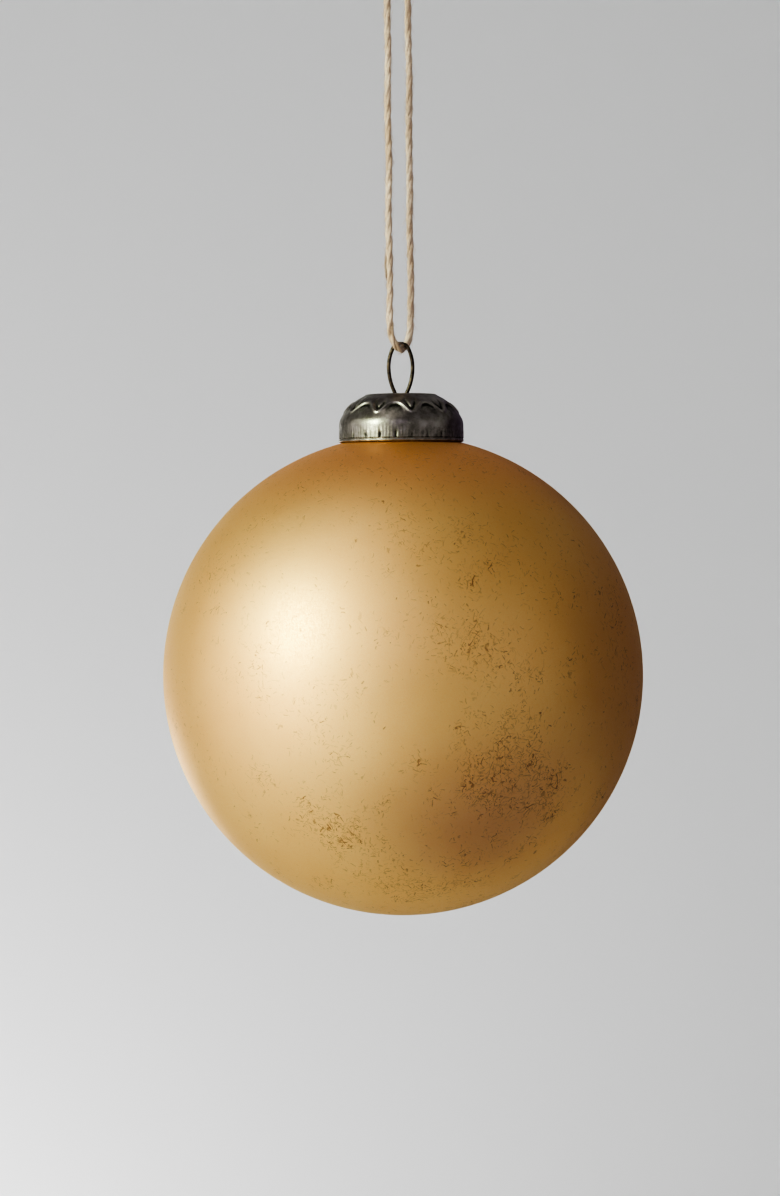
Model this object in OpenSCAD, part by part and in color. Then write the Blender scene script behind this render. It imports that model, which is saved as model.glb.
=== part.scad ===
// Glass ball ornament: a blown glass ball, a stamped metal cap on its neck,
// a sprung wire clip through the cap and a loop of twine tied in a knot.
// The origin is the hanging point, inside the top of the twine loop. +Z is up.

/* [Glass ball] */
// Outer diameter of the ball
ball_d = 100; // [80:1:120]
// Thickness of the glass
glass_t = 1.0; // [0.8:0.1:1.5]
// Outer diameter of the neck that the cap covers
neck_d = 23.4; // [21:0.1:23.6]
// Height of the neck's lip above the cap's lower rim
neck_rise = 5.0; // [3:0.1:5.2]

/* [Cap] */
// Outer diameter of the skirt
cap_d = 26; // [26:0.1:30]
// Height of the cap from its lower rim to its flat crown
cap_h = 10.1; // [10:0.1:10.4]
// Height of the straight skirt
skirt_h = 4.2; // [3.8:0.1:4.4]
// Thickness of the sheet metal
sheet_t = 0.5; // [0.3:0.1:0.5]
// Thickness of the rolled lower rim
rim_d = 0.7; // [0.6:0.1:0.8]
// Radius of the shoulder between skirt and crown
shoulder_r = 10.3; // [10:0.1:10.6]
// Diameter of the hole in the crown for the clip's legs
hole_d = 3.8; // [3.6:0.1:4.4]

/* [Wire clip] */
// Diameter of the wire
wire_d = 0.8; // [0.7:0.05:0.9]
// Width of the eye, measured between the middles of its two sides
eye_w = 5.0; // [4.6:0.1:5.2]
// Height of the eye's widest place below its top
eye_bow = 4.9; // [4.6:0.1:5.2]
// Height of the eye's top above the crown
eye_h = 10.5; // [10.3:0.1:10.8]
// Gap between the widest place of each sprung leg and the neck's bore
leg_gap = 0.5; // [0.3:0.1:1]

/* [Twine] */
// Diameter of the twine
twine_d = 1.45; // [1.2:0.05:1.5]
// Diameter of the knot
knot_d = 4.6; // [4:0.1:5]
// Length of the two cut ends above the knot
tail_l = 10; // [5:1:15]

/* [Hidden] */
round_fn = 96;
wire_fn = 32;
twine_sides = 8;
wire_sides = 12;
rings_per_span = 2;

// Route of the twine's middle line, from the knot down the front left strand,
// through the wire's eye and up the back right strand to the knot again
TWINE_ROUTE = [
    [-0.6, -0.6, 0.6], [-1.4, -1.6, 0.0], [-1.95, -2.25, -1.2], [-2.15, -2.5, -3],
    [-2.2, -2.5, -8], [-2.1, -2.6, -14], [-2.2, -2.5, -20], [-2.3, -2.5, -26],
    [-2.2, -2.6, -32], [-2.1, -2.5, -38], [-2.2, -2.4, -44], [-2.3, -2.5, -50],
    [-2.2, -2.5, -56], [-2.1, -2.5, -62], [-2.2, -2.5, -67], [-2.15, -2.5, -71],
    [-1.9, -2.4, -73], [-1.35, -2.1, -74.75], [-0.65, -1.25, -75.8], [0, 0, -76.2],
    [0.65, 1.25, -75.8], [1.35, 2.1, -74.75], [1.9, 2.4, -73],
    [2.15, 2.5, -71], [2.2, 2.5, -67], [2.3, 2.5, -62], [2.2, 2.6, -56],
    [2.1, 2.5, -50], [2.2, 2.5, -44], [2.2, 2.4, -38], [2.1, 2.5, -32],
    [2.2, 2.5, -26], [2.3, 2.5, -20], [2.2, 2.6, -14], [2.1, 2.5, -8],
    [2.15, 2.5, -3], [1.95, 2.25, -1.2], [1.4, 1.6, 0.0], [0.6, 0.6, 0.6]
];
bight_z = min([for (p = TWINE_ROUTE) p[2]]);
// The two strands hang in one upright plane, and this is its level normal
strand_side = [0.76, -0.65, 0];
knot_z = 2.4;
tail_lean = 14;

// Play between the twine and the wire that hangs on it, and under the cap's rim
eye_play = 0.175;
seat_play = 0.1;

// Heights of the pieces, each worked out from the one above it
eye_top_z = bight_z + (twine_d + wire_d) / 2 + eye_play;
crown_z = eye_top_z - eye_h;
rim_z = crown_z - cap_h;
ball_r = ball_d / 2;
cap_r = cap_d / 2;
seat_r = cap_r - sheet_t;
ball_z = rim_z - sqrt(ball_r * ball_r - seat_r * seat_r) - seat_play;
neck_top_z = rim_z + neck_rise;
bore_r = neck_d / 2 - glass_t;
leg_reach = bore_r - wire_d / 2 - leg_gap;

// The shoulder is an arc that starts at the skirt's top and ends under the crown
shoulder_from = 22.3;
shoulder_to = 70.5;
shoulder_steps = 8;
shoulder_x = cap_r - shoulder_r * cos(shoulder_from);
shoulder_z = skirt_h - shoulder_r * sin(shoulder_from);
crown_corner = 0.4;
// How far a cut runs past the face that it opens
overcut = 1;

// The eye is an oval of tangent arcs, narrow at its top
eye_top_r = 1.8;
eye_half_w = eye_w / 2;
eye_side_r = (pow(eye_bow - eye_top_r, 2) + pow(eye_half_w, 2) - pow(eye_top_r, 2))
    / (2 * (eye_half_w - eye_top_r));
eye_side_turn = atan((eye_bow - eye_top_r) / (eye_side_r - eye_half_w));
eye_top_turn = 90 - eye_side_turn;
lower_side_r = 12;
// The eye's two sides come closest a little above the crown
waist_rise = 0.3;
lower_side_turn = asin((eye_h - eye_bow - waist_rise) / lower_side_r);
waist_r = 1.5;
leg_spread = 45;
knee_r = 4;
tip_r = 6;
tip_turn = 30;
tip_l = 3;

// Distance from the axis to the wire where its sprung leg starts to run out
waist_x = eye_half_w - (lower_side_r + waist_r) * (1 - cos(lower_side_turn))
    + waist_r * (1 - cos(leg_spread));
leg_l = (leg_reach - waist_x - knee_r * (1 - cos(leg_spread))) / sin(leg_spread);

// Half the clip from the top of the eye to a leg's tip, as [radius, turn] for a bend
// towards the axis, a turn below 0 for one away from it, and [0, length] for a straight run
HALF_CLIP = [
    [eye_top_r, eye_top_turn], [eye_side_r, eye_side_turn],
    [lower_side_r, lower_side_turn], [waist_r, -lower_side_turn - leg_spread],
    [0, leg_l], [knee_r, leg_spread], [tip_r, tip_turn], [0, tip_l]
];
bend_step = 10;

// A ball of glass with an open neck, as one wall all over
module glass_ball() {
    color([0.72, 0.52, 0.25])
    difference() {
        union() {
            translate([0, 0, ball_z])
            sphere(r = ball_r, $fn = round_fn);
            translate([0, 0, ball_z])
            cylinder(h = neck_top_z - ball_z, d = neck_d, $fn = round_fn);
        }
        translate([0, 0, ball_z])
        sphere(r = ball_r - glass_t, $fn = round_fn);
        translate([0, 0, ball_z])
        cylinder(h = ball_r * 2, r = bore_r, $fn = round_fn);
    }
}

// Outline of half the cap, that far inside its outer face and with its foot at a height
function cap_outline(inset, foot_z) = concat(
    [[0, foot_z], [cap_r - inset, foot_z]],
    [[cap_r - inset, skirt_h - inset * sin(shoulder_from)]],
    [for (k = [0 : shoulder_steps])
        let (a = shoulder_from + (shoulder_to - shoulder_from) * k / shoulder_steps)
        [shoulder_x + (shoulder_r - inset) * cos(a), shoulder_z + (shoulder_r - inset) * sin(a)]],
    [[shoulder_x + shoulder_r * cos(shoulder_to) - crown_corner - inset / 2, cap_h - inset]],
    [[0, cap_h - inset]]
);

// A stamped cup with a rolled lower rim and one round hole in its crown
module cap() {
    color([0.42, 0.38, 0.33])
    translate([0, 0, rim_z])
    difference() {
        union() {
            difference() {
                rotate_extrude($fn = round_fn) polygon(cap_outline(0, 0));
                rotate_extrude($fn = round_fn) polygon(cap_outline(sheet_t, -overcut));
            }
            rotate_extrude($fn = round_fn)
            translate([cap_r - rim_d / 2, rim_d / 2])
            circle(d = rim_d, $fn = wire_fn);
        }
        cylinder(h = cap_h + overcut, d = hole_d, $fn = wire_fn);
    }
}

// Point on a smooth curve through the route, between points i and i + 1
function route_at(i, s) =
    let (last = len(TWINE_ROUTE) - 1,
        a = TWINE_ROUTE[max(i - 1, 0)], b = TWINE_ROUTE[i],
        c = TWINE_ROUTE[min(i + 1, last)], d = TWINE_ROUTE[min(i + 2, last)])
    0.5 * (2 * b + (c - a) * s + (2 * a - 5 * b + 4 * c - d) * pow(s, 2)
        + (3 * b - a - 3 * c + d) * pow(s, 3));

// Middle line of the twine, finer than its route
function twine_line() = [
    for (i = [0 : len(TWINE_ROUTE) - 2], k = [0 : rings_per_span - 1])
        route_at(i, k / rings_per_span),
    TWINE_ROUTE[len(TWINE_ROUTE) - 1]
];

function unit(v) = v / norm(v);

// Corners of the ring around point i of a line that lies close to an upright plane
function ring_at(line, i, radius, sides, plane_normal) =
    let (along = unit(line[min(i + 1, len(line) - 1)] - line[max(i - 1, 0)]),
        across = unit(plane_normal - (plane_normal * along) * along),
        up = cross(along, across))
    [for (k = [0 : sides - 1])
        line[i] + radius * (cos(360 * k / sides) * across + sin(360 * k / sides) * up)];

// Closed tube along a line of points
module tube(line, radius, sides, plane_normal) {
    last = len(line) - 1;
    corners = [for (i = [0 : last]) each ring_at(line, i, radius, sides, plane_normal)];
    walls = [for (i = [0 : last - 1], k = [0 : sides - 1])
        [i * sides + k, i * sides + (k + 1) % sides,
            (i + 1) * sides + (k + 1) % sides, (i + 1) * sides + k]];
    first_end = [for (k = [0 : sides - 1]) sides - 1 - k];
    last_end = [for (k = [0 : sides - 1]) last * sides + k];
    polyhedron(points = corners, faces = concat(walls, [first_end, last_end]));
}

// Points along bends and runs from one of them on, as [x, z], with the heading in degrees
function trace(steps, i = 0, at = [0, 0], heading = 0) =
    i == len(steps) ? [] :
    let (radius = steps[i][0], amount = steps[i][1],
        count = radius == 0 ? 1 : ceil(abs(amount) / bend_step),
        centre = at + sign(amount) * radius * [sin(heading), -cos(heading)],
        points = [for (k = [1 : count])
            let (h = heading - amount * k / count)
            radius == 0 ? at + amount * [cos(heading), sin(heading)]
                : centre - sign(amount) * radius * [sin(h), -cos(h)]])
    concat(points, trace(steps, i + 1, points[count - 1], radius == 0 ? heading : heading - amount));

// Middle line of the wire, from one leg's tip over the eye to the other's
function clip_line() =
    let (half = trace(HALF_CLIP), last = len(half) - 1)
    concat(
        [for (i = [last : -1 : 0]) [-half[i][0], 0, eye_top_z + half[i][1]]],
        [[0, 0, eye_top_z]],
        [for (p = half) [p[0], 0, eye_top_z + p[1]]]
    );

// A sprung wire clip with an eye above the cap and two legs that grip the neck
module wire_clip() {
    color([0.2, 0.17, 0.14])
    tube(clip_line(), wire_d / 2, wire_sides, [0, 1, 0]);
}

// The twine, tied into a long loop that passes through the wire's eye
module twine_loop() {
    color([0.78, 0.66, 0.5])
    tube(twine_line(), twine_d / 2, twine_sides, strand_side);
}

// The knot that closes the loop, with its two cut ends standing up
module twine_knot() {
    color([0.78, 0.66, 0.5])
    translate([0, 0, knot_z]) {
        sphere(d = knot_d, $fn = wire_fn);
        for (side = [-1, 1])
            rotate([0, side * tail_lean, 0])
            cylinder(h = knot_d / 2 + tail_l, d = twine_d, $fn = wire_fn);
    }
}

glass_ball();
cap();
wire_clip();
twine_loop();
twine_knot();
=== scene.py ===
"""A glass ball ornament with an antiqued gold finish, hanging by its wire eye on a loop of jute twine."""
import math
import random

import bmesh
import bpy
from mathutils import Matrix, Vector, noise


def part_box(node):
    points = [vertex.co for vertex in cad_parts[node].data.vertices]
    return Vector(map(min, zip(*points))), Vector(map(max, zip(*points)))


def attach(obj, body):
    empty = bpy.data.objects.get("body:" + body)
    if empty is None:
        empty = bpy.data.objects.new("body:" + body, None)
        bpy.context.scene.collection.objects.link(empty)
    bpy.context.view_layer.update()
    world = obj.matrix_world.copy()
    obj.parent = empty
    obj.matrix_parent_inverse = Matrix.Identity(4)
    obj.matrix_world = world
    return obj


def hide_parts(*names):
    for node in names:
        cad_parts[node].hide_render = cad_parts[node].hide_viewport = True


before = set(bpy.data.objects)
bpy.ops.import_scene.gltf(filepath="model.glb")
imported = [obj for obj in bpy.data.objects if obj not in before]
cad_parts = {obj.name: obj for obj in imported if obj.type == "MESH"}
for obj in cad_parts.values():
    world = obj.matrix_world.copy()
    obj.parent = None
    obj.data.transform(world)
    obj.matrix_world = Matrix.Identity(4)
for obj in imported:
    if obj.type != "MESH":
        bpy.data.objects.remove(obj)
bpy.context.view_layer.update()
MM = 0.001

# ---------------------------------------------------------------- sizes, from the frame and the real pieces
BALL_R = 50 * MM
GLASS_T = 1.0 * MM
BALL_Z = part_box("glass_ball")[0].z + BALL_R
NECK_TOP_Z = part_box("glass_ball")[1].z
NECK_R = 11.7 * MM
RIM_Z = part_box("cap")[0].z
CROWN_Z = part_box("cap")[1].z
EYE_TOP_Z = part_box("wire_clip")[1].z - 0.4 * MM

# ---------------------------------------------------------------- camera
CAMERA_DISTANCE = 1.3
CAMERA_SIDE = -2.6 * MM     # from the ball's axis
CAMERA_RISE = 16.1 * MM     # above the ball's middle
CAMERA_ROLL = 0.45          # degrees, clockwise
LENS_MM = 187.7
SENSOR_MM = 36


def make_camera():
    data = bpy.data.cameras.new("camera")
    data.lens = LENS_MM
    data.sensor_width = SENSOR_MM
    data.clip_start, data.clip_end = 0.01, 50
    camera = bpy.data.objects.new("camera", data)
    camera.location = (CAMERA_SIDE, -CAMERA_DISTANCE, BALL_Z + CAMERA_RISE)
    camera.rotation_euler = (math.radians(90), math.radians(CAMERA_ROLL), 0)
    bpy.context.scene.collection.objects.link(camera)
    bpy.context.scene.camera = camera


make_camera()


# ---------------------------------------------------------------- mesh helpers
def add_object(name, mesh, material):
    piece = bpy.data.objects.new(name, mesh)
    bpy.context.scene.collection.objects.link(piece)
    mesh.materials.append(material)
    return piece


def new_object(name, verts, faces, material):
    mesh = bpy.data.meshes.new(name)
    mesh.from_pydata(verts, [], faces)
    mesh.validate()
    mesh.shade_smooth()
    return add_object(name, mesh, material)


def smooth_line(points, steps):
    """Points on a smooth curve through the given ones, with that many steps between each two."""
    points = [Vector(p) for p in points]
    last = len(points) - 1
    line = []
    for i in range(last):
        a, b = points[max(i - 1, 0)], points[i]
        c, d = points[i + 1], points[min(i + 2, last)]
        for k in range(steps):
            s = k / steps
            line.append(0.5 * (2 * b + (c - a) * s + (2 * a - 5 * b + 4 * c - d) * s ** 2
                               + (3 * b - a - 3 * c + d) * s ** 3))
    line.append(points[last])
    return line


def even_line(line, step):
    """The same line with its points about a step apart."""
    lengths = [0.0]
    for a, b in zip(line, line[1:]):
        lengths.append(lengths[-1] + (b - a).length)
    count = max(2, round(lengths[-1] / step))
    even, i = [], 0
    for k in range(count + 1):
        want = lengths[-1] * k / count
        while i < len(line) - 2 and lengths[i + 1] < want:
            i += 1
        share = (want - lengths[i]) / max(lengths[i + 1] - lengths[i], 1e-12)
        even.append(line[i].lerp(line[i + 1], share))
    return even


def frames_along(line):
    """(point, direction, side, other side) at each point, turned as little as possible along the line."""
    side = None
    out = []
    for i, p in enumerate(line):
        along = (line[min(i + 1, len(line) - 1)] - line[max(i - 1, 0)]).normalized()
        if side is None:
            side = along.orthogonal().normalized()
        side = (side - along * side.dot(along)).normalized()
        out.append((p, along, side, along.cross(side)))
    return out


def tube_mesh(verts, faces, line, radii, sides):
    """Adds a closed tube along a line, with a radius for each of its points."""
    start = len(verts)
    for (p, _, side, other), radius in zip(frames_along(line), radii):
        for k in range(sides):
            a = 2 * math.pi * k / sides
            verts.append(p + radius * (math.cos(a) * side + math.sin(a) * other))
    last = len(line) - 1
    for i in range(last):
        for k in range(sides):
            n = (k + 1) % sides
            faces.append((start + i * sides + k, start + i * sides + n,
                          start + (i + 1) * sides + n, start + (i + 1) * sides + k))
    faces.append(tuple(start + sides - 1 - k for k in range(sides)))
    faces.append(tuple(start + last * sides + k for k in range(sides)))


# ---------------------------------------------------------------- materials
def new_material(name):
    material = bpy.data.materials.new(name)
    material.use_nodes = True
    return material, Nodes(material.node_tree)


def set_attribute(piece, name, values):
    """A number for each point of the mesh, which a material can read."""
    layer = piece.data.attributes.new(name, "FLOAT", "POINT")
    layer.data.foreach_set("value", values)


class Nodes:
    """Short ways to add and join shader nodes."""

    def __init__(self, tree):
        self.tree = tree
        self.shader = tree.nodes["Principled BSDF"]
        self.place = self.add("ShaderNodeTexCoord").outputs["Object"]

    def add(self, kind, **settings):
        node = self.tree.nodes.new(kind)
        for key, value in settings.items():
            setattr(node, key, value)
        return node

    def link(self, source, target):
        if isinstance(source, (int, float, tuple)):
            target.default_value = source
        else:
            self.tree.links.new(source, target)

    def math(self, operation, a, b=0.0):
        node = self.add("ShaderNodeMath", operation=operation)
        self.link(a, node.inputs[0])
        self.link(b, node.inputs[1])
        return node.outputs[0]

    def vector(self, operation, a, b=(0.0, 0.0, 0.0)):
        node = self.add("ShaderNodeVectorMath", operation=operation)
        self.link(a, node.inputs[0])
        self.link(b, node.inputs[1])
        return node.outputs["Value" if operation in ("DOT_PRODUCT", "LENGTH") else "Vector"]

    def remap(self, value, low, high, to_low=0.0, to_high=1.0, soft=False):
        """The value's share of the way from low to high, as a number between to_low and to_high."""
        node = self.add("ShaderNodeMapRange", clamp=True)
        if soft:
            node.interpolation_type = "SMOOTHSTEP"
        self.link(value, node.inputs["Value"])
        for socket, number in zip(node.inputs[1:5], (low, high, to_low, to_high)):
            self.link(number, socket)
        return node.outputs["Result"]

    def mix(self, share, a, b):
        node = self.add("ShaderNodeMix", data_type="RGBA")
        self.link(share, node.inputs[0])
        self.link(a, node.inputs[6])
        self.link(b, node.inputs[7])
        return node.outputs[2]

    def noise(self, scale, detail=2.0, rough=0.5, place=None, offset=None):
        node = self.add("ShaderNodeTexNoise")
        place = place or self.place
        if offset:
            place = self.vector("ADD", place, offset)
        self.link(place, node.inputs["Vector"])
        self.link(scale, node.inputs["Scale"])
        self.link(detail, node.inputs["Detail"])
        self.link(rough, node.inputs["Roughness"])
        return node.outputs["Fac"]

    def cells(self, place, scale):
        """A cell pattern's outputs: Distance, the Position of the cell's middle, and random Color."""
        node = self.add("ShaderNodeTexVoronoi")
        self.link(place, node.inputs["Vector"])
        self.link(scale, node.inputs["Scale"])
        return node.outputs

    def warped(self, scale, amount):
        """The place, pushed about by noise so that what is drawn on it isn't straight."""
        node = self.add("ShaderNodeTexNoise")
        self.link(self.place, node.inputs["Vector"])
        self.link(scale, node.inputs["Scale"])
        push = self.add("ShaderNodeVectorMath", operation="MULTIPLY_ADD")
        self.link(node.outputs["Color"], push.inputs[0])
        self.link((amount, amount, amount), push.inputs[1])
        self.link(self.place, push.inputs[2])
        return push.outputs[0]

    def attribute(self, name):
        return self.add("ShaderNodeAttribute", attribute_name=name).outputs["Fac"]

    def bump(self, height, distance, strength):
        node = self.add("ShaderNodeBump")
        self.link(strength, node.inputs["Strength"])
        self.link(distance, node.inputs["Distance"])
        self.link(height, node.inputs["Height"])
        self.link(node.outputs["Normal"], self.shader.inputs["Normal"])

    def set(self, **values):
        """Puts numbers, colours or links on the shader's own sockets."""
        for name, value in values.items():
            socket = self.shader.inputs[name.replace("_", " ")]
            self.link(value, socket)


# the lacquer's colours
GOLD = (0.95, 0.635, 0.262, 1)
GOLD_DEEP = (0.93, 0.590, 0.232, 1)
GOLD_RED = (0.92, 0.480, 0.205, 1)     # redder towards the top, round the neck
GOLD_EDGE = (1.0, 0.93, 0.82, 1)       # the reflection's colour where it grazes the ball's edge
TARNISH = (0.24, 0.058, 0.018, 1)


RED_FROM_Z, RED_TO_Z = BALL_Z + 30 * MM, BALL_Z + 49 * MM
SATIN = (0.42, 0.66)               # how rough the lacquer is, from one grain of it to the next
GRAIN_SCALE = 9000
STROKE_BEND = 0.9 * MM             # how far the strokes are pushed about
FAINTEST = 0.45                    # of a faint mark
CRACKED_METAL = 0.6                # how metallic a mark is
CRACK_DEPTH = 0.02 * MM


def gold_glass():
    """Satin gold lacquer over glass, broken by short dark strokes and specks where the crackle lies."""
    material, n = new_material("gold_glass")
    cover = n.attribute("crackle")
    bent = n.warped(700, STROKE_BEND)

    def kept(scale, detail, bare, full, offset):
        """1 where a noise passes a level that drops as the cover grows."""
        level = n.remap(cover, 0, 1, bare, full)
        value = n.noise(scale, detail, 0.6, offset=offset)
        return n.remap(n.math("SUBTRACT", value, level), 0.0, 0.035)

    def strokes(scale, half_width, half_length, bare, full, offset):
        """Short bent strokes, one to a cell, each its own way round. The cover says how many have one."""
        place = n.vector("ADD", bent, offset)
        cell = n.cells(place, scale)
        away = n.vector("SUBTRACT", place, cell["Position"])
        turn = n.vector("NORMALIZE", n.vector("SUBTRACT", cell["Color"], (0.5, 0.5, 0.5)))
        across = n.math("ABSOLUTE", n.vector("DOT_PRODUCT", away, turn))
        line = n.remap(across, half_width * 0.6, half_width * 1.3, 1.0, 0.0)
        ends = n.remap(n.vector("LENGTH", away), half_length * 0.75, half_length, 1.0, 0.0)
        # two more random numbers for each cell: whether it has a stroke, and how dark
        chance = n.math("FRACT", n.vector("DOT_PRODUCT", cell["Color"], (7.3, 11.7, 5.9)))
        there = n.remap(n.math("SUBTRACT", n.remap(cover, 0, 1, bare, full), chance), 0.0, 0.02)
        shade = n.math("FRACT", n.vector("DOT_PRODUCT", cell["Color"], (3.1, 5.3, 9.7)))
        depth = n.remap(n.math("POWER", shade, 2.5), 0, 1, 0.30, 1.0)
        return n.math("MULTIPLY", n.math("MULTIPLY", line, ends), n.math("MULTIPLY", there, depth))

    small = strokes(1250, 0.068 * MM, 0.62 * MM, -0.02, 1.40, (1, 5, 2))
    large = strokes(820, 0.078 * MM, 1.05 * MM, -0.05, 1.15, (4, 2, 6))
    # worm-like strokes, where a noise passes its middle value
    middle = n.math("ABSOLUTE", n.math("SUBTRACT", n.noise(620, 1, 0.4, place=bent), 0.5))
    worm = n.remap(middle, 0.014, 0.034, 0.75, 0.0)
    worms = n.math("MULTIPLY", worm, kept(700, 3, 0.70, 0.50, (3, 1, 7)))
    # long curved wrinkles side by side, only where the cover is thick
    bands = n.math("FRACT", n.math("MULTIPLY", n.noise(95, 1, 0.4, offset=(2, 8, 3)), 16.0))
    ridge = n.remap(n.math("ABSOLUTE", n.math("SUBTRACT", bands, 0.5)), 0.03, 0.08, 0.9, 0.0)
    wrinkles = n.math("MULTIPLY", ridge, kept(260, 4, 0.90, 0.49, (6, 2, 9)))
    speck = n.remap(n.cells(n.place, 1300)["Distance"], 0.12, 0.24, 1.0, 0.0)
    specks = n.math("MULTIPLY", speck, kept(420, 2, 0.66, 0.52, (7, 2, 3)))
    marks = small
    for other in (large, worms, wrinkles, specks):
        marks = n.math("MAXIMUM", marks, other)
    # some marks are only faint, the most of them where the cover is thin
    faint = n.remap(n.noise(330, 2, 0.6, offset=(5, 5, 1)), 0.38, 0.62, FAINTEST, 1.0)
    marks = n.math("MULTIPLY", marks, n.math("MULTIPLY", faint, n.remap(cover, 0.0, 0.9, 0.6, 1.0)))
    gold = n.mix(n.remap(n.noise(35, 3, 0.55), 0.35, 0.65), GOLD, GOLD_DEEP)
    height = n.vector("DOT_PRODUCT", n.place, (0.0, 0.0, 1.0))
    gold = n.mix(n.remap(height, RED_FROM_Z, RED_TO_Z, soft=True), gold, GOLD_RED)
    n.set(Base_Color=n.mix(marks, gold, TARNISH), Metallic=n.remap(marks, 0, 1, 1.0, CRACKED_METAL),
          Roughness=n.remap(n.noise(GRAIN_SCALE, 0, 0.5), 0.38, 0.62, *SATIN), Specular_Tint=GOLD_EDGE)
    n.bump(n.math("SUBTRACT", n.noise(1500, 2, 0.6), n.math("MULTIPLY", marks, 2.0)), CRACK_DEPTH, 0.5)
    return material


PEWTER = (0.40, 0.37, 0.31, 1)
PEWTER_DARK = (0.22, 0.20, 0.16, 1)
# next: rubbed pewter with a painted highlight, then dirt and patina deepened as painted shade
PEWTER_WEAR_AND_HIGHLIGHT = (0.62, 0.58, 0.50, 1)
PEWTER_DIRT_AND_SHADE = (0.022, 0.020, 0.014, 1)
TWINE_PALE = (0.80, 0.63, 0.48, 1)
TWINE_TAN = (0.65, 0.465, 0.32, 1)
TWINE_BROWN = (0.39, 0.26, 0.165, 1)
FIBRES_ROUND = 26                  # streaks round a ply
FIBRES_ALONG = 1.4                 # streaks in a millimetre of its length
WIRE_BLACK = (0.035, 0.028, 0.022, 1)
WIRE_BROWN = (0.16, 0.12, 0.085, 1)


def twine_fibre():
    """Jute: streaks along the plies, in blotches of straw and tan."""
    material, n = new_material("twine_fibre")
    strand = n.add("ShaderNodeUVMap", uv_map="strand").outputs["UV"]
    streaks = n.noise(1.0, 4, 0.65, place=n.vector("MULTIPLY", strand, (FIBRES_ROUND, FIBRES_ALONG, 1)))
    blotch = n.noise(230, 3, 0.6)
    straw = n.mix(n.remap(blotch, 0.38, 0.66), TWINE_PALE, TWINE_TAN)
    colour = n.mix(n.remap(streaks, 0.30, 0.52), TWINE_BROWN, straw)
    n.set(Base_Color=colour, Roughness=0.85, Sheen_Weight=0.35, Sheen_Roughness=0.5, Specular_IOR_Level=0.2)
    n.bump(streaks, 0.12 * MM, 0.8)
    return material


def cap_pewter():
    """Antiqued pewter, darkened by patina and painted shade in the hollows and creases, and lightened on the
    raised lines by wear and a painted highlight.
    """
    material, n = new_material("cap_pewter")
    mottle = n.noise(900, 4, 0.65)
    # darkening from the stamping's attribute, patina with painted shade, mottled with dirt
    dirt_and_shade = n.remap(n.math("ADD", n.attribute("patina_and_shade"), n.remap(mottle, 0.35, 0.75, -0.2, 0.3)), 0.1, 0.7)
    wear_and_highlight = n.math("MULTIPLY", n.attribute("wear_and_highlight"), n.remap(n.noise(650, 3, 0.6, offset=(4, 1, 2)), 0.3, 0.55))
    patina = n.mix(n.remap(n.noise(420, 3, 0.6, offset=(2, 3, 1)), 0.35, 0.65), PEWTER_DARK, PEWTER)
    metal = n.mix(wear_and_highlight, patina, PEWTER_WEAR_AND_HIGHLIGHT)
    n.set(Base_Color=n.mix(dirt_and_shade, metal, PEWTER_DIRT_AND_SHADE), Metallic=n.remap(dirt_and_shade, 0, 1, 1.0, 0.6),
          Roughness=n.remap(dirt_and_shade, 0, 1, 0.31, 0.60))
    n.bump(mottle, 0.05 * MM, 0.6)
    return material


def dark_wire():
    """Spring wire blackened and browned in small blotches."""
    material, n = new_material("dark_wire")
    mottle = n.noise(1200, 4, 0.6)
    colour = n.mix(n.remap(mottle, 0.35, 0.68), WIRE_BLACK, WIRE_BROWN)
    n.set(Base_Color=colour, Metallic=0.9, Roughness=n.remap(mottle, 0.3, 0.7, 0.28, 0.48))
    n.bump(mottle, 0.03 * MM, 0.5)
    return material


# ---------------------------------------------------------------- twine
# Route of the twine's middle line, from the knot down the front left strand,
# through the wire's eye and up the back right strand to the knot again
TWINE_ROUTE = [
    (-0.0006, -0.0006, 0.0006), (-0.0014, -0.0016, 0.0), (-0.00195, -0.00225, -0.0012),
    (-0.00215, -0.0025, -0.003), (-0.0022, -0.0025, -0.008), (-0.0021, -0.0026, -0.014),
    (-0.0022, -0.0025, -0.020), (-0.0023, -0.0025, -0.026), (-0.0022, -0.0026, -0.032),
    (-0.0021, -0.0025, -0.038), (-0.0022, -0.0024, -0.044), (-0.0023, -0.0025, -0.050),
    (-0.0022, -0.0025, -0.056), (-0.0021, -0.0025, -0.062), (-0.0022, -0.0025, -0.067),
    (-0.00215, -0.0025, -0.071), (-0.0019, -0.0024, -0.073), (-0.00135, -0.0021, -0.07475),
    (-0.00065, -0.00125, -0.0758), (0, 0, -0.0762),
    (0.00065, 0.00125, -0.0758), (0.00135, 0.0021, -0.07475), (0.0019, 0.0024, -0.073),
    (0.00215, 0.0025, -0.071), (0.0022, 0.0025, -0.067), (0.0023, 0.0025, -0.062), (0.0022, 0.0026, -0.056),
    (0.0021, 0.0025, -0.050), (0.0022, 0.0025, -0.044), (0.0022, 0.0024, -0.038), (0.0021, 0.0025, -0.032),
    (0.0022, 0.0025, -0.026), (0.0023, 0.0025, -0.020), (0.0022, 0.0026, -0.014), (0.0021, 0.0025, -0.008),
    (0.00215, 0.0025, -0.003), (0.00195, 0.00225, -0.0012), (0.0014, 0.0016, 0.0), (0.0006, 0.0006, 0.0006),
]
TWINE_D = 1.45 * MM
PLIES = 3
PLY_R = 0.44 * MM
PLY_OFFSET = 0.29 * MM
TWIST_PITCH = 10.5 * MM
RING_STEP = 0.35 * MM
PLY_SIDES = 10
PLY_WANDER = 0.10      # turns
PLY_SLUB = 0.16        # of a ply's own thickness
LOOSE_FIBRES, LOOSE_FIBRES_IN_KNOT = 2200, 700
LOOSE_FIBRE_MM = (0.7, 2.6)
LOOSE_FIBRE_R_MM = (0.012, 0.028)
FIBRE_SIDES = 3
SLUB_Z = -59 * MM      # a tuft of loose fibres on the front left strand
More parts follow.
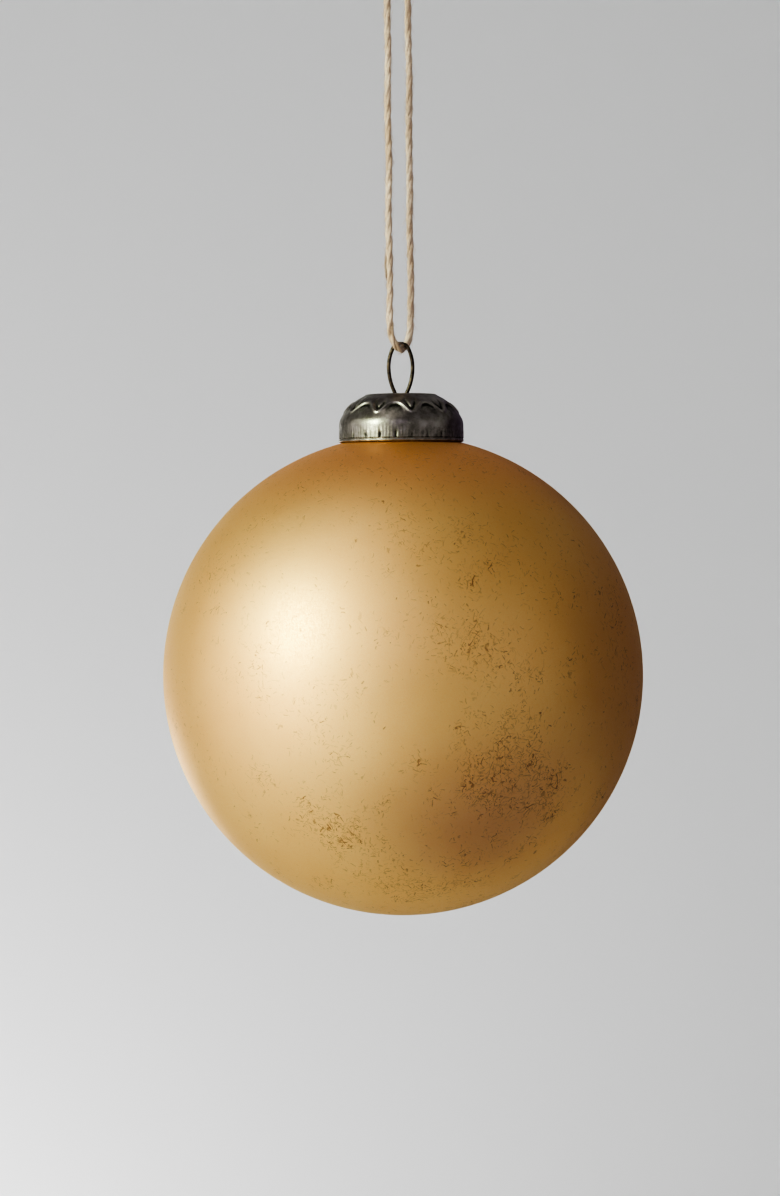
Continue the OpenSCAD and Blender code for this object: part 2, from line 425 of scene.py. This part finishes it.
SLUB_HALF = 3.8 * MM
SLUB_FIBRES = 70
SLUB_FIBRE_R_MM = (0.012, 0.026)
SLUB_OUT = Vector((-1, 0, 0))
SLUB_BULGE = 0.75 * MM
# loose fibres in front of the wire, where the twine passes through its eye
BIGHT_FROM = Vector((-0.0014, -0.0022, -0.0749))
BIGHT_TO = Vector((0.0009, -0.0006, -0.0757))
BIGHT_OUT = Vector((0.1, -0.7, 0.6))
BIGHT_BULGE = 0.5 * MM


class Yarn:
    """A mesh of twisted plies and loose fibres, with a UV map that runs along them."""

    def __init__(self, seed):
        self.seed = seed
        self.rng = random.Random(seed)
        self.mesh = bmesh.new()
        self.strand_uv = self.mesh.loops.layers.uv.new("strand")

    def join_rings(self, rings, us, vs):
        for i in range(len(rings) - 1):
            count = len(rings[i])
            for k in range(count):
                m = (k + 1) % count
                face = self.mesh.faces.new((rings[i][k], rings[i][m], rings[i + 1][m], rings[i + 1][k]))
                face.smooth = True
                corners = ((us[k], vs[i]), (us[k + 1], vs[i]), (us[k + 1], vs[i + 1]), (us[k], vs[i + 1]))
                for loop, uv in zip(face.loops, corners):
                    loop[self.strand_uv].uv = uv

    def sweep(self, line, radii, sides, start_v):
        """A closed tube along a line, with a radius for each of its points."""
        rings, vs, v = [], [], start_v
        for i, ((p, _, side, other), radius) in enumerate(zip(frames_along(line), radii)):
            if i:
                v += (p - line[i - 1]).length / MM
            vs.append(v)
            rings.append([self.mesh.verts.new(p + radius * (math.cos(a) * side + math.sin(a) * other))
                          for a in (2 * math.pi * k / sides for k in range(sides))])
        self.join_rings(rings, [k / sides for k in range(sides + 1)], vs)
        self.mesh.faces.new(rings[0][::-1])
        self.mesh.faces.new(rings[-1])

    def add_plies(self, line):
        """Plies that wind round the line, and wander and swell a little."""
        frames = frames_along(line)
        for ply in range(PLIES):
            ply_line, radii = [], []
            for i, (p, _, side, other) in enumerate(frames):
                along = i * RING_STEP
                wander = PLY_WANDER * noise.noise(Vector((along * 400, ply * 7.1, self.seed)))
                a = 2 * math.pi * (ply / PLIES + along / TWIST_PITCH + wander)
                slub = 1 + PLY_SLUB * noise.noise(Vector((along * 260, ply * 3.7, self.seed + 5)))
                ply_line.append(p + PLY_OFFSET * slub * (math.cos(a) * side + math.sin(a) * other))
                radii.append(PLY_R * slub)
            self.sweep(ply_line, radii, PLY_SIDES, ply * 31.0)

    def add_loose_fibre(self, line):
        """One fibre that comes out of the twine at a random place, and curls away along it."""
        rng = self.rng
        i = rng.randrange(3, len(line) - 4)
        p, along, side, other = frames_along(line[i - 1:i + 2])[1]
        a = rng.uniform(0, 2 * math.pi)
        out = math.cos(a) * side + math.sin(a) * other
        length = rng.uniform(*LOOSE_FIBRE_MM) * MM
        curl = out.cross(along) * rng.uniform(-0.8, 0.8)
        points, at = [], p + out * TWINE_D * 0.40
        heading = (out * rng.uniform(0.05, 0.6) + along * rng.choice((-1, 1))).normalized()
        for _step in range(5):
            points.append(at)
            at = at + heading * length / 4
            heading = (heading + curl * 0.35 - out * rng.uniform(-0.1, 0.25)).normalized()
        thick = rng.uniform(*LOOSE_FIBRE_R_MM) * MM
        self.sweep(points, [thick, thick, 0.9 * thick, 0.7 * thick, 0.2 * thick], FIBRE_SIDES,
                   rng.uniform(0, 50))

    def add_slub_fibre(self, low, high, out, bulge):
        """One fibre that leaves the strand between two places, bows out and joins it again."""
        rng = self.rng
        half = (high - low) / 2
        reach = rng.uniform(0.2, 0.8)
        middle = (low + high) / 2 + half * rng.uniform(-1, 1) * (0.95 - reach)
        sway = Vector([rng.uniform(-0.5, 0.5) for _axis in range(3)])
        bow = (out + sway).normalized() * bulge * rng.uniform(0.3, 1.0)
        points = [middle + half * reach * math.cos(math.pi * k / 6) + bow * math.sin(math.pi * k / 6)
                  + (0.25 * TWINE_D * out + 0.12 * MM * sway) for k in range(7)]
        thick = rng.uniform(*SLUB_FIBRE_R_MM) * MM
        self.sweep(points, [0.4 * thick] + 5 * [thick] + [0.4 * thick], FIBRE_SIDES, rng.uniform(0, 50))


def spin_twine(name, lines, material, fibres, seed, slubs=()):
    """Twine along each line, with that many loose fibres and a tuft of them for each of the slubs."""
    yarn = Yarn(seed)
    for line in lines:
        yarn.add_plies(even_line(line, RING_STEP))
    for _ in range(fibres):
        yarn.add_loose_fibre(yarn.rng.choice(lines))
    for slub in slubs:
        for _ in range(SLUB_FIBRES):
            yarn.add_slub_fibre(*slub)
    data = bpy.data.meshes.new(name)
    yarn.mesh.to_mesh(data)
    yarn.mesh.free()
    return add_object(name, data, material)


KNOT_Z = 2.4 * MM      # the knot's middle
KNOT_SCALE = 0.8
KNOT_POINTS = 40
KNOT_REACH = 2.12      # how far the curve is followed to each side of its middle


def knot_lines():
    """The two ends of the twine through an overhand knot that they tie together, and out at its top."""
    lines = []
    for side in (-1, 1):
        points = []
        for k in range(KNOT_POINTS + 1):
            # a trefoil opened out, which is an overhand knot
            t = -KNOT_REACH + 2 * KNOT_REACH * k / KNOT_POINTS
            x = 0.62 * (t ** 3 - 3 * t)
            y = 0.52 * (t ** 4 - 4 * t ** 2) + 0.9
            z = 0.62 * (t ** 5 / 5 - 2 * t)
            points.append(Vector((x * 0.8 + z * 0.35, y, z * 0.8 + x * 0.35)) * MM * KNOT_SCALE)
        # the two ends lie beside each other through it
        gap = Vector((0.62 * side, 0.25 * side, 0)) * MM
        points = [p + gap + Vector((0, 0, KNOT_Z)) for p in points]
        if points[0].z > points[-1].z:
            points.reverse()
        points.insert(0, Vector((0.6 * side, 0.6 * side, 0.6)) * MM)
        tail = points[-1]
        points += [tail + Vector((0.5 * side, 0.2, 3)) * MM, tail + Vector((1.4 * side, 0.3, 7)) * MM,
                   tail + Vector((2.6 * side, 0.1, 9.6)) * MM]
        lines.append(even_line(smooth_line(points, 4), RING_STEP))
    return lines


def make_twine(material):
    line = even_line(smooth_line(TWINE_ROUTE, 8), RING_STEP)
    tuft = [p for p in line[:len(line) // 2] if abs(p.z - SLUB_Z) < SLUB_HALF]
    slubs = [(tuft[-1], tuft[0], SLUB_OUT, SLUB_BULGE), (BIGHT_FROM, BIGHT_TO, BIGHT_OUT, BIGHT_BULGE)]
    loop = spin_twine("twine_strands", [line], material, LOOSE_FIBRES, 3, slubs)
    knot = spin_twine("tied_knot", knot_lines(), material, LOOSE_FIBRES_IN_KNOT, 8)
    for piece in (loop, knot):
        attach(piece, "twine")
    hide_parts("twine_loop")
    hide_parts("twine_knot")


make_twine(twine_fibre())


# ---------------------------------------------------------------- ball
def lathe(name, outline, segments, material):
    """A closed outline of (radius, height) turned round the upright axis. Radius 0 makes a pole."""
    verts, faces, starts = [], [], []
    for r, z in outline:
        starts.append(len(verts))
        if r == 0:
            verts.append((0, 0, z))
            continue
        for k in range(segments):
            a = 2 * math.pi * k / segments
            verts.append((r * math.cos(a), r * math.sin(a), z))
    for i in range(len(outline) - 1):
        lower, upper = starts[i], starts[i + 1]
        for k in range(segments):
            n = (k + 1) % segments
            if outline[i][0] == 0:
                faces.append((lower, upper + n, upper + k))
            elif outline[i + 1][0] == 0:
                faces.append((lower + k, lower + n, upper))
            else:
                faces.append((lower + k, lower + n, upper + n, upper + k))
    return new_object(name, verts, faces, material)


def arc(centre, radius, from_deg, to_deg, steps):
    """Points of (radius, height) on an arc; angles from the level outward direction, upwards."""
    return [(centre[0] + radius * math.cos(math.radians(from_deg + (to_deg - from_deg) * k / steps)),
             centre[1] + radius * math.sin(math.radians(from_deg + (to_deg - from_deg) * k / steps)))
            for k in range(steps + 1)]


# Patches of crackle: degrees round from the front to the right, degrees up, radius in mm, how thick it lies
CRACKLE_PATCHES = [
    (1, 39, 5, 0.35), (17, 34, 5, 0.6), (15, 25, 2.5, 0.35), (29, 30, 4.5, 0.35), (44, 18, 4, 0.25),
    (65, 17, 3.5, 0.5), (63, 6, 6, 0.3), (12, 11, 4, 0.6), (19, 8, 3.5, 0.5), (24, 4, 3, 0.7),
    (27, 0, 2, 0.9), (20, -2, 3, 0.35), (26, -10, 3, 0.5), (25, -17, 5, 1), (19, -22, 5, 0.95),
    (41, -29, 4.5, 1), (34, -21, 3, 0.9), (29, -27, 8, 0.6), (31, -42, 4, 0.4), (5, -23, 4, 0.3),
    (8, -34, 4, 0.25), (-28, -36, 5, 0.7), (-20, -36, 4.5, 0.75), (-21, -44, 3, 0.8), (-10, -44, 2.5, 0.7),
    (-11, -53, 6, 0.35), (4, -59, 5, 0.8), (17, -59, 4.5, 0.45), (-47, 1, 3, 0.35), (-36, 5, 3, 0.35),
    (-35, -2, 3.5, 0.35), (-23, -7, 4, 0.25), (-15, -1, 3, 0.25), (-18, -14, 2, 0.4), (-38, -22, 2, 0.5),
    (-55, 27, 4, 0.3), (-58, 21, 1.5, 0.4), (-51, 9, 1.5, 0.5), (-33, 12, 1, 0.9),
    # round the back, where the same finish goes on
    (-105, 22, 6, 0.8), (-98, 14, 5, 0.5), (-88, -18, 5, 0.6), (-120, -34, 7, 0.9), (-128, -26, 5, 0.6),
    (-140, 30, 6, 0.45), (-152, 2, 6, 0.7), (-160, -6, 4, 0.9), (-172, 26, 5, 0.5), (170, 20, 4, 0.35),
    (165, -30, 6, 0.9), (157, -38, 5, 0.7), (140, 8, 6, 0.6), (131, 1, 4, 0.8), (118, -22, 6, 0.5),
    (102, -36, 5, 0.8), (96, 30, 6, 0.4), (90, -4, 4, 0.5), (60, -72, 6, 0.6), (-150, -74, 6, 0.7),
    (40, 62, 4, 0.3), (-120, 60, 5, 0.4),
]
STRAY_COVER = 0.09     # the few marks that lie everywhere else
PATCH_REACH = 2.2      # radii from a patch's middle to where it has died out


def crackle_cover(direction):
    """How thick the crackle lies at a direction from the ball's middle, from 0 to 1."""
    ragged = noise.noise(direction * 9) + 0.6 * noise.noise(direction * 23)
    bare = 1 - STRAY_COVER * max(0.0, 1 + 1.6 * noise.noise(direction * 3))
    for centre, radius, thick in PATCH_CENTRES:
        away = (direction - centre).length * BALL_R / (radius * MM) * (1 + 0.9 * ragged)
        if away < PATCH_REACH:
            bare *= 1 - thick * math.exp(-0.9 * away ** 2)
    return 1 - bare


def around(turn, rise):
    """The direction that many degrees round from the front to the right, and up."""
    turn, rise = math.radians(turn), math.radians(rise)
    return Vector((math.sin(turn) * math.cos(rise), -math.cos(turn) * math.cos(rise), math.sin(rise)))


PATCH_CENTRES = [(around(turn, rise), radius, thick) for turn, rise, radius, thick in CRACKLE_PATCHES]


BALL_SEGMENTS = 288
NECK_FILLET = 1.2 * MM


def make_ball(material):
    lip = GLASS_T / 2
    inner_r, bore_r = BALL_R - GLASS_T, NECK_R - GLASS_T
    # the outer wall runs into a small fillet at the foot of the neck
    foot_r = NECK_R + NECK_FILLET
    foot_z = math.sqrt((BALL_R + NECK_FILLET) ** 2 - foot_r ** 2)
    meet = math.degrees(math.atan2(foot_z, foot_r))
    outline = [(0, BALL_Z - BALL_R)]
    outline += arc((0, BALL_Z), BALL_R, -90, meet, 150)[1:]
    outline += arc((foot_r, BALL_Z + foot_z), NECK_FILLET, meet + 180, 180, 6)[1:]
    outline += arc((NECK_R - lip, NECK_TOP_Z - lip), lip, 0, 180, 8)
    # inside, the bore opens straight into the hollow
    inner_meet = math.degrees(math.acos(bore_r / inner_r))
    outline += arc((0, BALL_Z), inner_r, inner_meet, -90, 60)[:-1]
    outline += [(0, BALL_Z - inner_r)]
    ball = lathe("ball_shell", outline, BALL_SEGMENTS, material)
    middle = Vector((0, 0, BALL_Z))
    set_attribute(ball, "crackle", [crackle_cover((v.co - middle).normalized()) for v in ball.data.vertices])
    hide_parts("glass_ball")
    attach(ball, "ball")


make_ball(gold_glass())

# ---------------------------------------------------------------- cap
CAP_R = 13.0 * MM
SHEET_T = 0.5 * MM
SKIRT_H = 4.2 * MM
HOLE_R = 1.9 * MM
SHOULDER_R = 10.3 * MM
SHOULDER_FROM, SHOULDER_TO = 22.3, 70.5
EDGE_ROUND = 0.75 * MM     # how far from the edge between shoulder and skirt the rounding starts
BEAD_R = 0.37 * MM         # of the rolled rim
CAP_SEGMENTS = 720

# The stamping. Its depths and places are in millimetres, and its angles in degrees.
LOBES = 10
LOBE_AT = -24.8            # from the front to one lobe's tip
LOBE_RISE = 7.6            # along the shoulder that the scalloped line swings up and down
LINE_AT = 42.6             # up the shoulder to the line's middle
LINE_OUT, INSIDE_IN, UNDER_IN = 0.22, 0.32, 0.22
CROWN_RING_AT, CROWN_RING_OUT = 7.2, 0.12
CRIMPS = 24
CRIMP_AT = -5              # from the front to one crimp
CRIMP_IN, CRIMP_LIP_OUT = 0.26, 0.05
FLUTES, FLUTE_OUT = 110, 0.012


def bump_at(value, middle, width):
    return math.exp(-((value - middle) / width) ** 2)


def shoulder_relief(angle, r, z, shoulder):
    """The scalloped line round the shoulder, with a hollow in each lobe and one between each two."""
    turn = LOBES * (angle - math.radians(LOBE_AT))
    wave = math.cos(turn) + 0.16 * math.cos(2 * turn) - 0.16
    slope = LOBES * (math.sin(turn) + 0.32 * math.sin(2 * turn))
    up = math.degrees(math.atan2(z - shoulder[1], r - shoulder[0]))
    per_degree = SHOULDER_R / MM * math.radians(1)
    steep = slope * LOBE_RISE * per_degree / (r / MM)
    # distance outwards from the scalloped line, straight across it
    near = (LINE_AT - LOBE_RISE * wave - up) * per_degree / math.sqrt(1 + steep ** 2)
    line = bump_at(near, 0, 0.29)
    inside = bump_at(near, -0.95, 0.52) * max(0.0, 0.25 + 0.75 * wave)
    under = bump_at(near, 0.80, 0.50) * max(0.0, -0.10 - 1.0 * wave)
    out = LINE_OUT * line - INSIDE_IN * inside - UNDER_IN * under
    out += CROWN_RING_OUT * bump_at(r / MM, CROWN_RING_AT, 0.4)
    # how dark: patina in each lobe's hollow, and painted shade under each arch of the line and further below
    # it; the raised line is painted lighter
    dark = inside + under + 0.35 * bump_at(near, 2.0, 1.0) * max(0.0, -wave) - 0.9 * line
    dark += 0.5 * bump_at(r / MM, 6.3, 0.5) + 0.6 * bump_at(r / MM, 2.4, 0.7)
    # how bright: the raised line and the crown's ring, rubbed by wear and given a painted highlight
    wear_and_highlight = 0.40 * line + 0.3 * bump_at(r / MM, CROWN_RING_AT, 0.35)
    return out, dark, wear_and_highlight


def skirt_relief(angle, height):
    """Crimps of differing depth round the skirt, each with a raised lip, and fine fluting between them."""
    turn = CRIMPS * (angle - math.radians(CRIMP_AT)) / (2 * math.pi)
    index = round(turn)
    chance = 0.5 + 0.5 * noise.noise(Vector((index % CRIMPS * 1.7 + 14.36, 0.5, 0.2)))
    deep = min(max(chance, 0.0), 1.0)
    across = (turn - index) * (2 * math.pi * CAP_R / MM / CRIMPS)
    fold = bump_at(across, 0, 0.24) * bump_at(height, 1.45, 0.75)
    fluting = math.sin(FLUTES * angle + 2 * math.sin(7 * angle)) * bump_at(height, 1.9, 1.5)
    out = FLUTE_OUT * fluting - CRIMP_IN * deep * fold
    out += CRIMP_LIP_OUT * deep * bump_at(across, 0.55, 0.25) * bump_at(height, 1.5, 0.8)
    # how dark: patina and painted shade in each crimp, painted shade in a band across the skirt and in a thin
    # line just above the rolled rim
    dark = 1.1 * deep * fold + (0.22 + 0.08 * fluting) * bump_at(height, 1.6, 1.6)
    dark += 0.5 * bump_at(height, 0.80, 0.12)
    # a painted highlight on each crimp's raised lip
    wear_and_highlight = 0.5 * deep * bump_at(across, 0.6, 0.25) * bump_at(height, 1.5, 0.8)
    return out, dark, wear_and_highlight


def cap_relief(angle, r, z, shoulder):
    """What the stamping does at a place on the cap's outside: (mm outwards, how dark with patina and painted
    shade, how bright with wear and a painted highlight).
    """
    if z > SKIRT_H:
        out, dark, wear_and_highlight = shoulder_relief(angle, r, z, shoulder)
    else:
        out, dark, wear_and_highlight = skirt_relief(angle, z / MM)
    return out, min(max(dark, 0.0), 1.0), min(max(wear_and_highlight, 0.0), 1.0)


def rounded_edge(before, corner, after, steps):
    """Points between two places on a curve that leaves and reaches them towards the corner."""
    points = []
    for k in range(1, steps):
        s = k / steps
        points.append(tuple((1 - s) ** 2 * a + 2 * s * (1 - s) * c + s ** 2 * b
                            for a, c, b in zip(before, corner, after)))
    return points


def cap_outline(shoulder):
    """The cap's section as (radius, height, whether it's stamped there), from the hole out, down and back."""
    top = CROWN_Z - RIM_Z
    hole_edge = HOLE_R + 0.1 * MM
    inside_r = CAP_R - SHEET_T
    outside = [(HOLE_R, top - 0.1 * MM), (hole_edge, top)]
    end_r = shoulder[0] + SHOULDER_R * math.cos(math.radians(SHOULDER_TO))
    crown = [(hole_edge + (end_r - 0.5 * MM - HOLE_R - 0.1 * MM) * k / 14, top) for k in range(1, 15)]
    round_from = SHOULDER_FROM + math.degrees(EDGE_ROUND / SHOULDER_R)
    dome = arc(shoulder, SHOULDER_R, SHOULDER_TO, round_from, 58)
    skirt_top = SKIRT_H - EDGE_ROUND
    skirt = [(CAP_R, skirt_top - (skirt_top - 0.75 * MM) * k / 22) for k in range(23)]
    relief = crown + dome + rounded_edge(dome[-1], (CAP_R, SKIRT_H), skirt[0], 10) + skirt
    bead = arc((CAP_R - 0.33 * MM, BEAD_R), BEAD_R, 60, -180, 14)
    inner = [(inside_r - 0.2 * MM, 0.7 * MM), (inside_r, 0.95 * MM), (inside_r, SKIRT_H - 0.2 * MM)]
    inner += arc(shoulder, SHOULDER_R - SHEET_T, SHOULDER_FROM, SHOULDER_TO, 16)
    inner += [(end_r - 0.7 * MM, top - SHEET_T), (HOLE_R, top - SHEET_T)]
    return ([(r, z, False) for r, z in outside] + [(r, z, True) for r, z in relief]
            + [(r, z, False) for r, z in bead + inner])


# (mm outwards, how dark with patina and painted shade, how bright with wear and a painted highlight) where
# nothing is stamped; the cap's inside is darkened as painted shade
BEAD_LOOK = (0.0, 0.25, 0.35)
INSIDE_LOOK = (0.0, 0.35, 0.0)


def make_cap(material):
    shoulder = (CAP_R - SHOULDER_R * math.cos(math.radians(SHOULDER_FROM)),
                SKIRT_H - SHOULDER_R * math.sin(math.radians(SHOULDER_FROM)))
    outline = cap_outline(shoulder)
    count = len(outline)
    verts, faces, patina_and_shade, wear_and_highlight = [], [], [], []
    for i, (r, z, stamped) in enumerate(outline):
        # the stamping moves a point straight out from the sheet
        before, after = outline[i - 1], outline[(i + 1) % count]
        tangent = Vector((after[0] - before[0], after[1] - before[1])).normalized()
        normal = Vector((-tangent.y, tangent.x))
        plain = BEAD_LOOK if r > CAP_R - SHEET_T else INSIDE_LOOK
        for k in range(CAP_SEGMENTS):
            a = 2 * math.pi * k / CAP_SEGMENTS
            out, dark, bright = cap_relief(a, r, z, shoulder) if stamped else plain
            rr, zz = r + normal.x * out * MM, z + normal.y * out * MM
            verts.append((rr * math.sin(a), -rr * math.cos(a), RIM_Z + zz))
            patina_and_shade.append(dark)
            wear_and_highlight.append(bright)
    for i in range(count):
        j = (i + 1) % count
        for k in range(CAP_SEGMENTS):
            n = (k + 1) % CAP_SEGMENTS
            faces.append((i * CAP_SEGMENTS + k, j * CAP_SEGMENTS + k,
                          j * CAP_SEGMENTS + n, i * CAP_SEGMENTS + n))
    cap = new_object("stamped_cap", verts, faces, material)
    # the darkening, patina and painted shade, and the lightening, wear and painted highlight, for the
    # material
    set_attribute(cap, "patina_and_shade", patina_and_shade)
    set_attribute(cap, "wear_and_highlight", wear_and_highlight)
    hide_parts("cap")
    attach(cap, "cap")


make_cap(cap_pewter())

# ---------------------------------------------------------------- wire clip
WIRE_D = 0.8 * MM
WIRE_STEP = 0.3 * MM
WIRE_SIDES = 20

# The clip's shape in mm and degrees, worked out as in part.scad. Its eye is an oval of tangent arcs.
EYE_TOP_R = 1.8
EYE_HALF_W = 2.5
EYE_BOW = 4.9              # from the eye's top down to where it is widest
EYE_H = 10.5
EYE_SIDE_R = ((EYE_BOW - EYE_TOP_R) ** 2 + EYE_HALF_W ** 2 - EYE_TOP_R ** 2) / (2 * (EYE_HALF_W - EYE_TOP_R))
EYE_SIDE_TURN = math.degrees(math.atan((EYE_BOW - EYE_TOP_R) / (EYE_SIDE_R - EYE_HALF_W)))
LOWER_R = 12
WAIST_RISE = 0.3           # above the crown, where the eye's two sides come closest
LOWER_TURN = math.degrees(math.asin((EYE_H - EYE_BOW - WAIST_RISE) / LOWER_R))
WAIST_R = 1.5
KNEE_R = 4
LEG_SPREAD = 45
TIP_R, TIP_TURN, TIP_L = 6, 30, 3
LEG_GAP = 0.5              # between a leg and the neck's bore
LEG_REACH = (NECK_R - GLASS_T - WIRE_D / 2) / MM - LEG_GAP


def drift(turn):
    """How far a bend of radius 1 and that turn goes sideways."""
    return 1 - math.cos(math.radians(turn))


WAIST_X = EYE_HALF_W - (LOWER_R + WAIST_R) * drift(LOWER_TURN) + WAIST_R * drift(LEG_SPREAD)
LEG_L = (LEG_REACH - WAIST_X - KNEE_R * drift(LEG_SPREAD)) / math.sin(math.radians(LEG_SPREAD))
# Half the clip from the top of its eye to a leg's tip: (radius, turn towards the axis) for a bend,
# or (0, length) for a straight
HALF_CLIP = [
    (EYE_TOP_R, 90 - EYE_SIDE_TURN), (EYE_SIDE_R, EYE_SIDE_TURN), (LOWER_R, LOWER_TURN),
    (WAIST_R, -LOWER_TURN - LEG_SPREAD), (0, LEG_L), (KNEE_R, LEG_SPREAD), (TIP_R, TIP_TURN), (0, TIP_L),
]


def half_clip_line():
    """Points of half the clip's middle line, as (mm sideways, mm up) from the top of the eye."""
    at, heading, points = Vector((0, 0)), 0.0, []
    for radius, amount in HALF_CLIP:
        if radius == 0:
            for k in range(1, 9):
                points.append(at + Vector((math.cos(heading), math.sin(heading))) * amount * k / 8)
            at = points[-1]
            continue
        sign = math.copysign(1, amount)
        centre = at + sign * radius * Vector((math.sin(heading), -math.cos(heading)))
        steps = max(4, round(abs(amount) / 5))
        for k in range(1, steps + 1):
            h = heading - math.radians(amount) * k / steps
            points.append(centre - sign * radius * Vector((math.sin(h), -math.cos(h))))
        heading -= math.radians(amount)
        at = points[-1]
    return points


def make_clip(material):
    half = half_clip_line()
    flat = [(-p.x, p.y) for p in reversed(half)] + [(0, 0)] + [(p.x, p.y) for p in half]
    line = even_line([Vector((x * MM, 0, EYE_TOP_Z + z * MM)) for x, z in flat], WIRE_STEP)
    radii = [WIRE_D / 2 * (1 + 0.012 * noise.noise(p * 900)) for p in line]
    verts, faces = [], []
    # rounded tips: the first and last rings shrink
    for k, share in enumerate((0.55, 0.85, 0.97)):
        radii[k] *= share
        radii[-1 - k] *= share
    tube_mesh(verts, faces, line, radii, WIRE_SIDES)
    clip = new_object("bent_clip", verts, faces, material)
    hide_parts("wire_clip")
    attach(clip, "clip")


make_clip(dark_wire())


# ---------------------------------------------------------------- room and light
ROOM_R = 4.0
COVE_R = 2.0
FLOOR_Z = -0.60
ROOM_H = 3.5
WALL_PALE = (0.84, 0.84, 0.83, 1)
WALL_GREY = (0.78, 0.78, 0.78, 1)


def make_room():
    """A pale floor that curves up into a round wall."""
    outline = [(0, FLOOR_Z), (ROOM_R - COVE_R, FLOOR_Z)]
    outline += arc((ROOM_R - COVE_R, FLOOR_Z + COVE_R), COVE_R, -90, 0, 48)[1:]
    outline += [(ROOM_R, FLOOR_Z + ROOM_H)]
    material, n = new_material("room_paint")
    tone = n.noise(0.8, 2, 0.5)
    n.set(Base_Color=n.mix(tone, WALL_GREY, WALL_PALE), Roughness=0.9, Specular_IOR_Level=0.1)
    room = lathe("room", outline, 128, material)


def aim(thing, place, target):
    thing.location = place
    thing.rotation_euler = (Vector(target) - Vector(place)).to_track_quat("-Z", "Y").to_euler()


def add_light(name, place, target, size, power, colour):
    """A soft box of that size in metres and power in watts, which the camera doesn't see."""
    data = bpy.data.lights.new(name, "AREA")
    data.shape = "RECTANGLE"
    data.size, data.size_y = size
    data.energy = power
    data.color = colour
    light = bpy.data.objects.new(name, data)
    aim(light, place, target)
    light.visible_camera = False
    bpy.context.scene.collection.objects.link(light)


def make_flag(name, place, target, size, shade):
    """A dark card near the ball, which only reflections see. It keeps the ball's shaded side dark."""
    w, h = size[0] / 2, size[1] / 2
    material, n = new_material(name + "_card")
    n.set(Base_Color=shade, Roughness=1.0, Specular_IOR_Level=0.0)
    flag = new_object(name, [(-w, -h, 0), (w, -h, 0), (w, h, 0), (-w, h, 0)], [(0, 1, 2, 3)], material)
    aim(flag, place, target)
    flag.visible_camera = flag.visible_shadow = flag.visible_diffuse = False


SKYLIGHT = (1.0, 1.22, 0.90)
FOOTLIGHT = (1.0, 1.01, 0.80)
DAYLIGHT = (1.0, 0.975, 1.0)
ROOM_LIGHT = (1.0, 0.88, 1.35)


def make_lights():
    """A tall window to the front left, fainter light from the room, and dark cards on the right."""
    ball = Vector((0, 0, BALL_Z))
    add_light("window_core", ball + around(-54, 20) * 1.6, ball, (0.4, 0.6), 15, SKYLIGHT)
    add_light("window", ball + around(-50, 15) * 1.6, ball, (1.7, 1.9), 4.7, DAYLIGHT)
    add_light("window_foot", ball + around(-52, -8) * 1.6, ball, (0.7, 0.7), 3.3, FOOTLIGHT)
    add_light("side_wash", ball + around(-85, 2) * 1.9, ball, (1.6, 2.0), 4.5, DAYLIGHT)
    add_light("high_wash", ball + around(-40, 62) * 1.6, ball, (1.0, 1.0), 1.6, DAYLIGHT)
    add_light("front_wash", ball + around(-8, 20) * 2.2, ball, (1.4, 1.4), 2.0, ROOM_LIGHT)
    add_light("right_wash", ball + around(50, 10) * 1.8, ball, (1.2, 1.2), 0.55, ROOM_LIGHT)
    add_light("floor_bounce", (-0.73, -0.2, FLOOR_Z + 0.05), ball, (1.2, 1.2), 0.55, ROOM_LIGHT)
    add_light("back_wash", (-0.9, 2.0, -0.25), (-0.72, 3.0, -0.9), (0.6, 0.4), 23.5, (1.0, 0.99, 1.0))
    make_flag("right_flag", ball + around(135, -5) * 1.0, ball, (2.2, 1.5), (0.17, 0.125, 0.20, 1))
    make_flag("low_flag", ball + Vector((0.13, -0.11, -0.315)), ball, (0.62, 0.42), (0.27, 0.21, 0.37, 1))
    world = bpy.data.worlds.new("world")
    world.use_nodes = True
    sky = world.node_tree.nodes["Background"].inputs
    sky["Color"].default_value = (1.0, 0.95, 1.08, 1)
    sky["Strength"].default_value = 0.17
    bpy.context.scene.world = world
    bpy.context.scene.view_settings.look = "AgX - Very High Contrast"


make_room()
make_lights()
